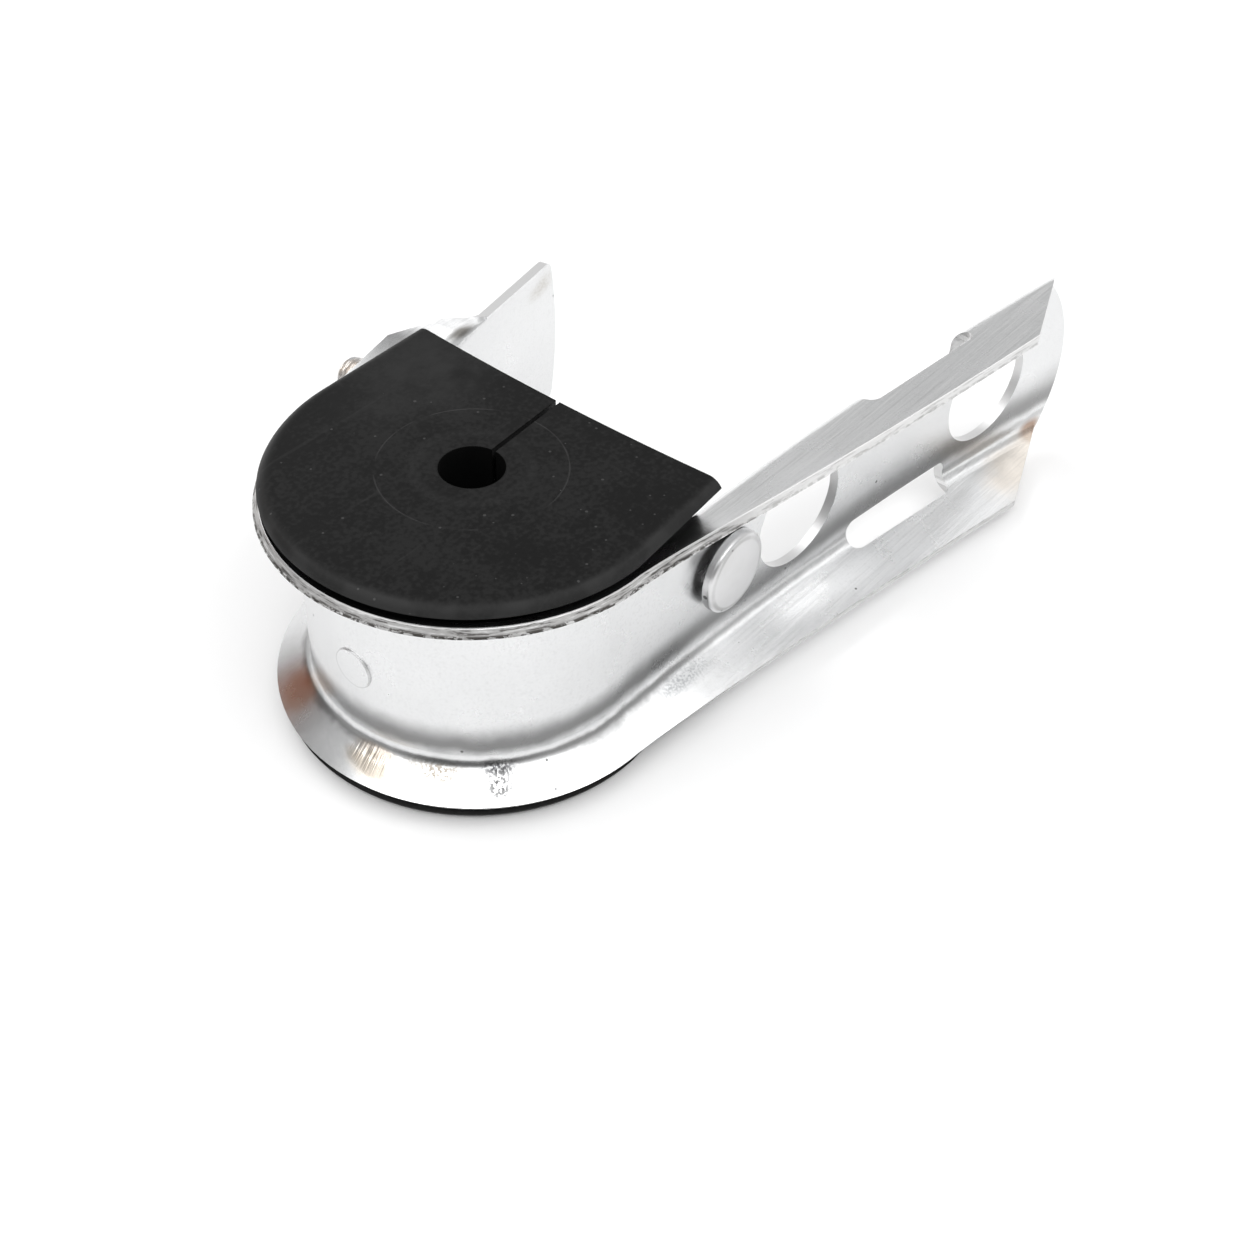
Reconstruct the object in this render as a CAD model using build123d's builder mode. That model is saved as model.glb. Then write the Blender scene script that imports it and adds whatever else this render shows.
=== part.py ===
from build123d import *
import os
from math import cos, degrees, hypot, radians, sin, sqrt, tan

# Cable suspension clamp: a pressed steel strap bent round a rubber insert and closed by a bolt.
# It lies on its side. The cable bore stands along Z, and the origin is the centre of the bore's
# mouth in the face that the clamp rests on. The arms run along +X from the bend, the long arm
# on the -Y side and the short arm on the +Y side. All sizes are in millimetres.

# Rubber insert
insert_radius = 28.4
insert_centre_y = 0.25
insert_face_x = 18.4
insert_face_hollow = 0.9
long_side_taper = 1.35
short_side_flare = 0.25
insert_rim_round = 2.4
lip_edge = 1.3
lip_edge_at_long_corner = 1.0
cable_bore = 9.0
slit_width = 0.7
slit_lean = 3.5

# Steel strap, cross-section
sheet = 1.5
flange_bend = 2.2
strap_radius = 24.0
bend_centre_x = 0.4
web_half_at_bend = 11.6
flange_reach_at_bend = 5.1
edge_half_at_bend = 15.3

# Long arm
long_arm_tip_x = 103.8
long_arm_bow_radius = 580.0
long_arm_ease = 3.0
long_edge_lean = 7.7
web_half_growth = 0.03
edge_half_at_middle = 14.8
edge_half_at_tip = 16.8
tip_bulge = 4.8
tip_half = 14.6
tip_skew = 6.0
tip_step = 0.05
flange_corner_x = 81.1
long_arm_stations = 8

# Short arm
short_arm_lean = 10.2
short_flange_length = 24.0
short_flange_reach = 6.9
short_edge_half = 13.7
short_web_growth = 0.5
runout_length = 14.2
runout_break = 8.0
runout_bend = 0.8
runout_reach = 3.0
runout_edge_half = 13.6
fin_length = 20.1
fin_half = 12.9
fin_shoulder = 0.5
fin_shoulder_reach = 0.06
fin_bulge = 1.5
fin_corner_round = 1.6

# Holes, slots and the button
mounting_hole = 17.8
mounting_hole_xs = (40.9, 84.9)
band_slot_start_x = 52.9
band_slot_length = 23.4
band_slot_stagger = 0.6
band_slot_web_half = 9.7
band_slot_flange_depth = 2.5
band_slot_round = 1.6
button_diameter = 6.0
button_rise = 0.2

# Retaining bolt and nut
bolt_diameter = 6.0
bolt_length = 73.5
bolt_lean = 1.4
bolt_head_diameter = 12.6
bolt_head_height = 2.0
bolt_head_bevel = 0.6
bolt_end_chamfer = 0.8
nut_across_flats = 10.0
nut_height = 5.0
nut_chamfer = 0.7
thread_gap = 0.05

# Clearances
insert_clearance = 0.3
lip_clearance = 1.05
bolt_hole_clearance = 1.0
bolt_insert_gap = 1.95
seat_gap = 0.1

# The insert's groove takes the bend of the strap, and its lips slope as the flanges do
lip_slope = (edge_half_at_bend - web_half_at_bend) / flange_reach_at_bend
sheet_in_groove = (sheet + lip_clearance) * hypot(1, lip_slope)
rim_half = web_half_at_bend + lip_slope * (insert_radius - strap_radius) + sheet_in_groove
insert_height = 2 * (rim_half + lip_edge)
mid_height = insert_height / 2
cut_reach = 2 * insert_height
insert_corner_x = insert_face_x + insert_face_hollow
insert_long_side = insert_radius - insert_centre_y - long_side_taper
insert_short_side = insert_radius + insert_centre_y + short_side_flare
groove_floor = strap_radius - sheet - insert_clearance
bolt_x = insert_corner_x + bolt_insert_gap + bolt_diameter / 2
band_slot_end_x = band_slot_start_x + band_slot_length
long_arm_end_x = long_arm_tip_x + sheet
fin_start = short_flange_length + runout_length


def long_web_y(x):
    """Outer face of the long arm's web, bowed away from the bore."""
    along = x - bend_centre_x
    return -(strap_radius + along**2 / (2 * long_arm_bow_radius))


def long_slope(x):
    """Angle in degrees between the long arm's web and the X axis."""
    return degrees((x - bend_centre_x) / long_arm_bow_radius)


def eased(x):
    """Distance along the long arm, eased so that what grows with it leaves the bend smoothly."""
    return hypot(x - bend_centre_x, long_arm_ease) - long_arm_ease


def long_edge_y(x):
    """Free edge of the long arm's flanges, nearly a straight line in plan."""
    return -(strap_radius + flange_reach_at_bend + eased(x) * tan(radians(long_edge_lean)))


def through_three(start, middle, end, share):
    """Value at a share of the length, on the parabola through the three values."""
    rise = 4 * middle - 3 * start - end
    curl = 2 * start - 4 * middle + 2 * end
    return start + rise * share + curl * share**2


def strap_section(station, web_half, reach, edge_half, bend=flange_bend):
    """Profile of the sheet at one station: a web with a flange rolled outwards at each side.

    Local x points outwards from the web's outer face, and local y points up.
    """
    with BuildSketch(station) as section:
        with BuildLine():
            FilletPolyline(
                (reach, -edge_half),
                (0, -web_half),
                (0, web_half),
                (reach, edge_half),
                radius=bend,
            )
            offset(amount=sheet, side=Side.LEFT)
        make_face()
    return section.sketch


def long_arm_section(x):
    """Profile of the long arm where it crosses the plane at x."""
    station = Plane(origin=(x, long_web_y(x), mid_height), x_dir=(0, -1, 0), z_dir=(-1, 0, 0))
    return strap_section(
        station,
        web_half_at_bend + web_half_growth * eased(x),
        long_web_y(x) - long_edge_y(x),
        through_three(
            edge_half_at_bend,
            edge_half_at_middle,
            edge_half_at_tip,
            eased(x) / eased(long_arm_end_x),
        ),
    )


def groove_section(x, rim, lip=lip_edge):
    """Profile of the insert's groove on the +Y side, for a rim that far out and a lip that thick."""
    mouth = rim + flange_reach_at_bend
    mouth_half = mid_height - lip + lip_slope * (mouth - rim)
    floor_half = mid_height - lip + lip_slope * (groove_floor - rim)
    with BuildSketch(Plane.YZ.offset(x)) as profile:
        with BuildLine():
            Polyline(
                (mouth, mid_height - mouth_half),
                (groove_floor, mid_height - floor_half),
                (groove_floor, mid_height + floor_half),
                (mouth, mid_height + mouth_half),
                close=True,
            )
        make_face()
    return profile.sketch


def long_arm_plane(x):
    """Plane on the long arm's outer face, with its normal pointing inwards."""
    slope = radians(long_slope(x))
    return Plane(
        origin=(x, long_web_y(x), mid_height), x_dir=(0, 0, 1), z_dir=(sin(slope), cos(slope), 0)
    )


def short_arm_plane(along):
    """Plane square to the short arm, at a distance along it from the end of the bend."""
    lean = radians(short_arm_lean)
    heading = Vector(cos(lean), sin(lean), 0)
    outwards = Vector(-sin(lean), cos(lean), 0)
    foot = Vector(bend_centre_x, 0, mid_height) + outwards * strap_radius + heading * along
    return Plane(origin=foot, x_dir=outwards, z_dir=heading)


# Bolt axis: the arms diverge, so the bolt lies between their normals and its head seats on one
# side of its rim
bolt_heading = Vector(-sin(radians(bolt_lean)), cos(radians(bolt_lean)), 0)
bolt_foot = Vector(bolt_x, long_web_y(bolt_x), mid_height)
head_slack = bolt_head_diameter / 2 * tan(radians(long_slope(bolt_x) + bolt_lean))
bolt_seat = bolt_foot - bolt_heading * (seat_gap + head_slack)
bolt_plane = Plane(origin=bolt_seat, x_dir=(0, 0, 1), z_dir=bolt_heading)

# The nut stands on the short arm's sloping outer face with one corner
short_face = short_arm_plane(0)
face_distance = (short_face.origin - bolt_seat).dot(short_face.x_dir)
short_exit = face_distance / bolt_heading.dot(short_face.x_dir)
nut_slack = nut_across_flats / sqrt(3) * tan(radians(short_arm_lean - bolt_lean))
nut_plane = bolt_plane.offset(short_exit + nut_slack + seat_gap)

# Sections at the two ends of each stretch of the strap
bend_axis = Axis((bend_centre_x, 0, 0), (0, 0, 1))
rim_station = Plane(
    origin=(bend_centre_x, -strap_radius, mid_height), x_dir=(0, -1, 0), z_dir=(-1, 0, 0)
)
rim_values = (web_half_at_bend, flange_reach_at_bend, edge_half_at_bend)
short_web_half = web_half_at_bend + short_web_growth
flange_end_values = (short_web_half, short_flange_reach, short_edge_half)
runout_values = (short_web_half, runout_reach, runout_edge_half)
fin_start_values = (fin_half - fin_shoulder, fin_shoulder_reach, fin_half)
long_arm_spacing = (long_arm_end_x - bend_centre_x) / long_arm_stations
long_arm_xs = [bend_centre_x + step * long_arm_spacing for step in range(long_arm_stations + 1)]

# Band slot, as the block of metal that a punch takes out of one bend of the long arm
with BuildPart() as band_slot:
    with BuildSketch(Plane.XY.offset(mid_height + band_slot_web_half)) as slot_plan:
        with BuildLine():
            Polyline(
                (band_slot_start_x, 0),
                (band_slot_start_x, long_web_y(band_slot_start_x) - band_slot_flange_depth),
                (band_slot_end_x, long_web_y(band_slot_end_x) - band_slot_flange_depth),
                (band_slot_end_x, 0),
                close=True,
            )
        make_face()
        fillet(slot_plan.vertices().sort_by(Axis.Y)[:2], band_slot_round)
    extrude(amount=cut_reach)
    slot_floor = band_slot.faces().sort_by(Axis.Z)[0]
    fillet(slot_floor.edges().filter_by(Axis.Y), band_slot_round)

with BuildPart() as hook_strap:
    # Bend, with the same section all the way round
    revolve(
        profiles=strap_section(rim_station, *rim_values),
        axis=bend_axis,
        revolution_arc=short_arm_lean - 180,
    )
    # Long arm, whose flanges widen towards the tip
    loft(sections=[long_arm_section(x) for x in long_arm_xs])
    # Short arm, first flanged and then with the flanges running out into a flat fin
    loft(
        sections=[
            strap_section(short_arm_plane(0), *rim_values),
            strap_section(short_arm_plane(short_flange_length), *flange_end_values),
        ],
        ruled=True,
    )
    loft(
        sections=[
            strap_section(short_arm_plane(short_flange_length), *flange_end_values),
            strap_section(
                short_arm_plane(short_flange_length + runout_break),
                *runout_values,
                bend=runout_bend,
            ),
            strap_section(short_arm_plane(fin_start), *fin_start_values, bend=fin_shoulder / 2),
        ],
        ruled=True,
    )
    # Fin, cut to a shallow arc at its end
    fin_plane = Plane(
        origin=short_arm_plane(fin_start).origin,
        x_dir=short_arm_plane(fin_start).z_dir,
        z_dir=short_arm_plane(fin_start).x_dir,
    )
    with BuildSketch(fin_plane) as fin_outline:
        with BuildLine():
            Polyline(
                (fin_length - fin_bulge, fin_half),
                (0, fin_half),
                (0, -fin_half),
                (fin_length - fin_bulge, -fin_half),
            )
            ThreePointArc(
                (fin_length - fin_bulge, -fin_half),
                (fin_length, 0),
                (fin_length - fin_bulge, fin_half),
            )
        make_face()
        fillet(fin_outline.vertices().group_by(Axis.X)[-1], fin_corner_round)
    extrude(amount=-sheet)

    # Long arm's tip: each flange is cut on a slant in plan, the lower one further out
    for side in (1, -1):
        flange_corner = flange_corner_x - side * tip_half * tan(radians(tip_skew))
        tip_corner = long_arm_tip_x - tip_bulge - side * tip_half * tan(radians(tip_skew))
        with BuildSketch(Plane.XY.offset(mid_height)):
            with BuildLine():
                Polyline(
                    (flange_corner, -cut_reach),
                    (flange_corner, long_edge_y(flange_corner)),
                    (tip_corner, long_web_y(tip_corner) - tip_step),
                    (long_arm_end_x, long_web_y(long_arm_end_x) - tip_step),
                    (long_arm_end_x, -cut_reach),
                    close=True,
                )
            make_face()
        extrude(amount=side * cut_reach, mode=Mode.SUBTRACT)
    # Long arm's tip: the web is cut to an arc in side view, a little out of square
    tip_plane = Plane(
        origin=(long_arm_tip_x, 0, mid_height),
        x_dir=(cos(radians(tip_skew)), 0, sin(radians(tip_skew))),
        z_dir=(0, -1, 0),
    )
    with BuildSketch(tip_plane):
        with BuildLine():
            Polyline(
                (-tip_bulge, tip_half),
                (-tip_bulge, cut_reach),
                (cut_reach, cut_reach),
                (cut_reach, -cut_reach),
                (-tip_bulge, -cut_reach),
                (-tip_bulge, -tip_half),
            )
            ThreePointArc((-tip_bulge, -tip_half), (0, 0), (-tip_bulge, tip_half))
        make_face()
    extrude(amount=cut_reach, mode=Mode.SUBTRACT)

    # Two mounting holes through the long arm, square to its web
    for hole_x in mounting_hole_xs:
        with BuildSketch(long_arm_plane(hole_x)):
            Circle(mounting_hole / 2)
        extrude(amount=2 * sheet, both=True, mode=Mode.SUBTRACT)
    # A pair of slots for a steel band, through the upper and the lower bend of the long arm,
    # the lower one a little nearer the tip
    lower_slot = mirror(band_slot.part, about=Plane.XY.offset(mid_height), mode=Mode.PRIVATE)
    add(band_slot.part.moved(Location((-band_slot_stagger, 0, 0))), mode=Mode.SUBTRACT)
    add(lower_slot.moved(Location((band_slot_stagger, 0, 0))), mode=Mode.SUBTRACT)
    # Clearance holes for the retaining bolt
    with BuildSketch(bolt_plane):
        Circle((bolt_diameter + bolt_hole_clearance) / 2)
    extrude(amount=bolt_length, mode=Mode.SUBTRACT)

    # Shallow round button pressed out of the middle of the bend
    with BuildSketch(Plane(origin=(bend_centre_x, 0, mid_height), z_dir=(-1, 0, 0))):
        Circle(button_diameter / 2)
    extrude(amount=strap_radius + button_rise)
    with BuildSketch(Plane.XY.offset(mid_height)):
        with Locations((bend_centre_x, 0)):
            Circle(strap_radius - sheet)
    extrude(amount=button_diameter, both=True, mode=Mode.SUBTRACT)

hook_strap.part.label = "hook_strap"

# Rubber insert: a spool with a flat face, whose groove takes the strap
bend_groove = groove_section(bend_centre_x, insert_radius)
short_side_groove = groove_section(insert_corner_x + insert_clearance, insert_short_side)
long_side_groove = groove_section(
    insert_corner_x + insert_clearance, insert_long_side, lip_edge_at_long_corner
)

with BuildPart() as rubber_insert:
    with BuildSketch():
        with BuildLine():
            CenterArc((bend_centre_x, insert_centre_y), insert_radius, 90, 180)
            Line(
                (bend_centre_x, insert_centre_y - insert_radius),
                (insert_corner_x, -insert_long_side),
            )
            ThreePointArc(
                (insert_corner_x, -insert_long_side),
                (insert_face_x, 0),
                (insert_corner_x, insert_short_side),
            )
            Line(
                (insert_corner_x, insert_short_side),
                (bend_centre_x, insert_centre_y + insert_radius),
            )
        make_face()
    extrude(amount=insert_height)
    end_edges = rubber_insert.faces().filter_by(Axis.Z).edges()
    fillet(
        end_edges.filter_by(lambda edge: edge.center().X < insert_face_x - insert_rim_round),
        insert_rim_round,
    )
    # Groove round the bend
    revolve(profiles=bend_groove, axis=bend_axis, revolution_arc=180, mode=Mode.SUBTRACT)
    # Groove along both arms, with lips that follow the insert's outline
    loft(sections=[bend_groove, short_side_groove], mode=Mode.SUBTRACT)
    loft(
        sections=[
            mirror(profile, about=Plane.XZ, mode=Mode.PRIVATE)
            for profile in (bend_groove, long_side_groove)
        ],
        mode=Mode.SUBTRACT,
    )
    # Cable bore
    with BuildSketch():
        Circle(cable_bore / 2)
    extrude(amount=insert_height, mode=Mode.SUBTRACT)
    # Slit by which the cable is put in
    with BuildSketch(Plane.XY.rotated((0, 0, slit_lean))):
        Rectangle(2 * insert_radius, slit_width, align=(Align.MIN, Align.CENTER))
    extrude(amount=insert_height, mode=Mode.SUBTRACT)

rubber_insert.part.label = "rubber_insert"

# Retaining bolt: a low round head and a plain shank, its thread not modelled
with BuildPart() as retaining_bolt:
    with BuildSketch(bolt_plane):
        Circle(bolt_head_diameter / 2)
    extrude(amount=-bolt_head_height)
    head_rim = retaining_bolt.edges().sort_by(Axis.Y)[0]
    chamfer(head_rim, bolt_head_bevel)
    with BuildSketch(bolt_plane):
        Circle(bolt_diameter / 2)
    extrude(amount=bolt_length)
    bolt_end = retaining_bolt.edges().sort_by(Axis.Y)[-1]
    chamfer(bolt_end, bolt_end_chamfer)

retaining_bolt.part.label = "retaining_bolt"

# Hexagon nut, run up the bolt to the short arm, with its corners chamfered at both ends
nut_corner = nut_across_flats / sqrt(3)
nut_section = Plane(
    origin=nut_plane.origin, x_dir=nut_plane.x_dir, z_dir=nut_plane.z_dir.cross(nut_plane.x_dir)
)
with BuildPart() as hex_nut:
    with BuildSketch(nut_plane):
        RegularPolygon(nut_across_flats / 2, 6, major_radius=False)
        Circle(bolt_diameter / 2 + thread_gap, mode=Mode.SUBTRACT)
    extrude(amount=nut_height)
    with BuildSketch(nut_section):
        with BuildLine():
            Polyline(
                (0, 0),
                (nut_corner - nut_chamfer, 0),
                (nut_corner, -nut_chamfer / 2),
                (nut_corner, nut_chamfer / 2 - nut_height),
                (nut_corner - nut_chamfer, -nut_height),
                (0, -nut_height),
                close=True,
            )
        make_face()
    revolve(axis=Axis(nut_plane.origin, nut_plane.z_dir), mode=Mode.INTERSECT)

hex_nut.part.label = "hex_nut"

os.makedirs("parts", exist_ok=True)
export_step(hook_strap.part, "parts/hook_strap.step")
export_step(rubber_insert.part, "parts/rubber_insert.step")
export_step(retaining_bolt.part, "parts/retaining_bolt.step")
export_step(hex_nut.part, "parts/hex_nut.step")
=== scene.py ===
"""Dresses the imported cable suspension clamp: finishes, bolt thread, studio and camera."""

import logging
import math
from dataclasses import dataclass, field
from enum import Enum
from typing import Mapping, Sequence, Union

import bmesh
import bpy
from mathutils import Matrix, Vector


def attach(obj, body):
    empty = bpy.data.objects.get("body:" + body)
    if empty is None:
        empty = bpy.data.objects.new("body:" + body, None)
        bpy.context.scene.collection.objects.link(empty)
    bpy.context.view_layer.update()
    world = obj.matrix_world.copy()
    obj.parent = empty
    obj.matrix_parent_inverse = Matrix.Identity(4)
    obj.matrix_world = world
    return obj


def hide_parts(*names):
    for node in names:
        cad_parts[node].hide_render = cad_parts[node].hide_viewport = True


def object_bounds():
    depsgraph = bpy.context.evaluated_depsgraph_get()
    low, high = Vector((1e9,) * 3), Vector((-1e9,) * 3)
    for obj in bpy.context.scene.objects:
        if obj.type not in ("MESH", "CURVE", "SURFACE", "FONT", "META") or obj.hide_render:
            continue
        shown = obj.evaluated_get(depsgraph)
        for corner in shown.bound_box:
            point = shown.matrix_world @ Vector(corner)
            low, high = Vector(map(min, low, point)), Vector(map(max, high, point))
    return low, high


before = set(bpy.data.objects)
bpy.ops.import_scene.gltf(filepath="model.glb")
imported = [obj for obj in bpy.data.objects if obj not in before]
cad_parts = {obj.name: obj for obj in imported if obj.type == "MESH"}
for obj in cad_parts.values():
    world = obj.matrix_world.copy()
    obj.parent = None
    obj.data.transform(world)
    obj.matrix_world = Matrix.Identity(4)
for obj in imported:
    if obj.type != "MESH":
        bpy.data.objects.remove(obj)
cad_low, cad_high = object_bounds()

log = logging.getLogger("clamp")

MM = 0.001
MID_HEIGHT = (cad_low[2] + cad_high[2]) / 2

Number = Union[int, float]
Triple = tuple[float, float, float]
Colour = tuple[float, float, float, float]


class Slot(Enum):
    """Material slots of the record."""

    STRAP = "zinc_plated_steel"
    RUBBER = "black_rubber"
    BOLT = "bolt_steel"


class Solid(Enum):
    """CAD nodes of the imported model."""

    STRAP = "hook_strap"
    INSERT = "rubber_insert"
    BOLT = "retaining_bolt"
    NUT = "hex_nut"


def grey(level: float) -> Colour:
    """Returns a neutral colour."""
    return (level, level, level, 1.0)


class Wire:
    """One output of a shader or geometry tree, with maths written as Python operators."""

    def __init__(self, tree: "Tree", socket: bpy.types.NodeSocket) -> None:
        """Keeps the socket and the tree that it belongs to."""
        self.tree = tree
        self.socket = socket

    def maths(self, operation: str, *others: "Term") -> "Wire":
        """Adds one Math node.

        Args:
            operation: the Math node's operation.
            others: the operands after this one.

        Returns:
            The node's output.
        """
        node = self.tree.add(self.tree.maths_node, {"operation": operation}, [self, *others])
        return node.out()

    def __add__(self, other: "Term") -> "Wire":
        """Returns the sum."""
        return self.maths("ADD", other)

    def __sub__(self, other: "Term") -> "Wire":
        """Returns the difference."""
        return self.maths("SUBTRACT", other)

    def __mul__(self, other: "Term") -> "Wire":
        """Returns the product."""
        return self.maths("MULTIPLY", other)

    def __truediv__(self, other: "Term") -> "Wire":
        """Returns the quotient."""
        return self.maths("DIVIDE", other)

    def __pow__(self, other: "Term") -> "Wire":
        """Returns the power."""
        return self.maths("POWER", other)

    def __rsub__(self, other: Number) -> "Wire":
        """Returns a number less this value."""
        return self.tree.number(other).maths("SUBTRACT", self)

    def __rtruediv__(self, other: Number) -> "Wire":
        """Returns a number over this value."""
        return self.tree.number(other).maths("DIVIDE", self)

    def __rpow__(self, other: Number) -> "Wire":
        """Returns a number to the power of this value."""
        return self.tree.number(other).maths("POWER", self)

    def __neg__(self) -> "Wire":
        """Returns the value with its sign changed."""
        return self.maths("MULTIPLY", -1.0)

    __radd__ = __add__
    __rmul__ = __mul__

    def size(self) -> "Wire":
        """Returns the value without its sign."""
        return self.maths("ABSOLUTE")

    def root(self) -> "Wire":
        """Returns the square root."""
        return self.maths("SQRT")

    def most(self, other: "Term") -> "Wire":
        """Returns the larger of the two."""
        return self.maths("MAXIMUM", other)

    def least(self, other: "Term") -> "Wire":
        """Returns the smaller of the two."""
        return self.maths("MINIMUM", other)

    def clamp(self) -> "Wire":
        """Returns the value kept between 0 and 1."""
        return self.most(0.0).least(1.0)

    def ramp(self, low: float, high: float) -> "Wire":
        """Rises smoothly from 0 at low to 1 at high, or falls where low is the larger.

        Args:
            low: the value that gives 0.
            high: the value that gives 1.

        Returns:
            The eased share.
        """
        share = ((self - low) / (high - low)).clamp()
        return share * share * (3.0 - 2.0 * share)

    def span(self, ends: tuple[float, float]) -> "Wire":
        """Returns the eased share of a length between two others, given in millimetres."""
        return (self / MM).ramp(*ends)


Term = Union[Wire, Number]
Setting = Union[Wire, Number, Sequence[float], bpy.types.ID, str]


class Node:
    """A node that was added to a tree."""

    def __init__(self, tree: "Tree", node: bpy.types.Node) -> None:
        """Keeps the node and its tree."""
        self.tree = tree
        self.node = node

    def out(self, name: Union[int, str] = 0) -> Wire:
        """Returns the output with that name or number."""
        return Wire(self.tree, self.node.outputs[name])


class Tree:
    """A node tree and the one method by which nodes are added to it."""

    maths_node = "ShaderNodeMath"

    def __init__(self, node_tree: bpy.types.NodeTree) -> None:
        """Keeps the tree."""
        self.node_tree = node_tree

    def add(
        self,
        kind: str,
        settings: Mapping[str, object] | None = None,
        inputs: Union[Mapping[Union[int, str], Setting], Sequence[Setting], None] = None,
    ) -> Node:
        """Adds a node.

        Args:
            kind: the node's type.
            settings: its own properties, set first.
            inputs: the value or link of each socket, by name or number.

        Returns:
            The node.
        """
        node = self.node_tree.nodes.new(kind)
        for name, value in (settings or {}).items():
            setattr(node, name, value)
        pairs = inputs.items() if isinstance(inputs, Mapping) else enumerate(inputs or ())
        for name, value in pairs:
            socket = node.inputs[name]
            if isinstance(value, Wire):
                self.node_tree.links.new(value.socket, socket)
            else:
                socket.default_value = value
        return Node(self, node)

    def number(self, value: Number) -> Wire:
        """Returns a constant as the output of an adding node."""
        return self.add(self.maths_node, {"operation": "ADD"}, [float(value), 0.0]).out()

    def mix(self, share: Term, first: Setting, second: Setting) -> Wire:
        """Mixes two colours.

        Args:
            share: 0 gives the first and 1 the second.
            first: a colour.
            second: a colour.

        Returns:
            The mixed colour.
        """
        node = self.add("ShaderNodeMix", {"data_type": "RGBA"}, {0: share, 6: first, 7: second})
        return node.out(2)


class Paint(Tree):
    """A material's tree, with the mixes and patterns that the finishes share."""

    ragged_noise = (260.0, 4.0)

    def __init__(self, name: str) -> None:
        """Makes an empty material.

        Args:
            name: the material's name.
        """
        self.material = bpy.data.materials.new(name)
        self.material.use_nodes = True
        self.material.node_tree.nodes.clear()
        super().__init__(self.material.node_tree)
        self.place = self.add("ShaderNodeTexCoord").out("Object")
        split = self.add("ShaderNodeSeparateXYZ", None, [self.place])
        self.x, self.y, self.z = (split.out(axis) for axis in "XYZ")

    def stretched(self, scale: Triple, turn: Triple = (0.0, 0.0, 0.0)) -> Wire:
        """Returns Object coordinates, scaled and turned."""
        mapping = {"Vector": self.place, "Scale": scale, "Rotation": turn}
        return self.add("ShaderNodeMapping", None, mapping).out()

    def noise(
        self, scale: float, detail: float = 3.0, rough: float = 0.5, where: Wire | None = None
    ) -> Wire:
        """Adds a cloudy pattern.

        Args:
            scale: its cells for each metre.
            detail: how many finer layers it has.
            rough: how strong the finer layers are.
            where: the place to read it at, or None for the Object coordinates.

        Returns:
            The pattern, between 0 and 1.
        """
        values = {
            "Vector": where or self.place,
            "Scale": scale,
            "Detail": detail,
            "Roughness": rough,
        }
        return self.add("ShaderNodeTexNoise", {"noise_dimensions": "3D"}, values).out("Fac")

    def bump(self, height: Wire, depth: float, normal: Wire | None = None) -> Wire:
        """Turns a height into a normal.

        Args:
            height: the pattern, between 0 and 1.
            depth: its real depth in millimetres.
            normal: a normal to add to.

        Returns:
            The new normal.
        """
        values: dict[Union[int, str], Setting] = {
            "Height": height,
            "Distance": depth * MM,
            "Strength": 1.0,
        }
        if normal is not None:
            values["Normal"] = normal
        return self.add("ShaderNodeBump", None, values).out()

    def surface(self, values: Mapping[Union[int, str], Setting]) -> bpy.types.Material:
        """Ends the tree in a Principled shader.

        Args:
            values: the value or link of each of the shader's sockets.

        Returns:
            The material.
        """
        shader = self.add("ShaderNodeBsdfPrincipled", None, values)
        self.add("ShaderNodeOutputMaterial", None, [shader.out()])
        return self.material


@dataclass(frozen=True)
class Coat:
    """A colour laid over another where a pattern lies between two of its values."""

    start: float
    full: float
    share: float
    colour: Colour

    def at(self, pattern: Wire) -> Wire:
        """Returns 0 where the coat starts and 1 where it is full."""
        return pattern.ramp(self.start, self.full)

    def over(self, colour: Setting, pattern: Wire, mask: Term = 1.0) -> Wire:
        """Lays the coat over a colour.

        Args:
            colour: the colour below.
            pattern: the pattern: start gives none of the coat and full its whole share.
            mask: 1 where on the part the coat may lie.

        Returns:
            The new colour.
        """
        return pattern.tree.mix(self.at(pattern) * mask * self.share, colour, self.colour)


@dataclass(frozen=True)
class Band:
    """A colour laid over another along the strip, between two heights in millimetres."""

    scale: float
    wander: float
    rise: tuple[float, float]
    fall: tuple[float, float]
    share: float
    colour: Colour

    def over(self, colour: Setting, paint: Paint, mask: Term = 1.0) -> Wire:
        """Lays the band over a colour.

        Args:
            colour: the colour below.
            paint: the material's tree.
            mask: 1 where on the part the band may lie.

        Returns:
            The new colour.
        """
        height = paint.z / MM + (paint.noise(self.scale) - 0.5) * self.wander
        share = height.ramp(*self.rise) * height.ramp(*self.fall) * mask * self.share
        return paint.mix(share, colour, self.colour)


@dataclass(frozen=True)
class ColourPatch:
    """A coloured patch, broken up by fine grain where grainy isn't 0."""

    centre: Triple
    reach: Triple
    colour: Colour
    share: float
    soft: float = 0.6
    grainy: float = 0.0
    ragged: float = 0.5

    def mask(self, paint: Paint) -> Wire:
        """Finds the patch, with its ragged edge.

        Args:
            paint: the material's tree.

        Returns:
            Its share in the middle, falling to 0 outside.
        """
        places = zip((paint.x, paint.y, paint.z), self.centre, self.reach)
        x, y, z = (((axis - at * MM) / (half * MM)) ** 2.0 for axis, at, half in places)
        edge = (x + y + z).root() + (paint.noise(*paint.ragged_noise) - 0.5) * self.ragged
        return edge.ramp(1.0, 1.0 - self.soft) * self.share


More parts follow.
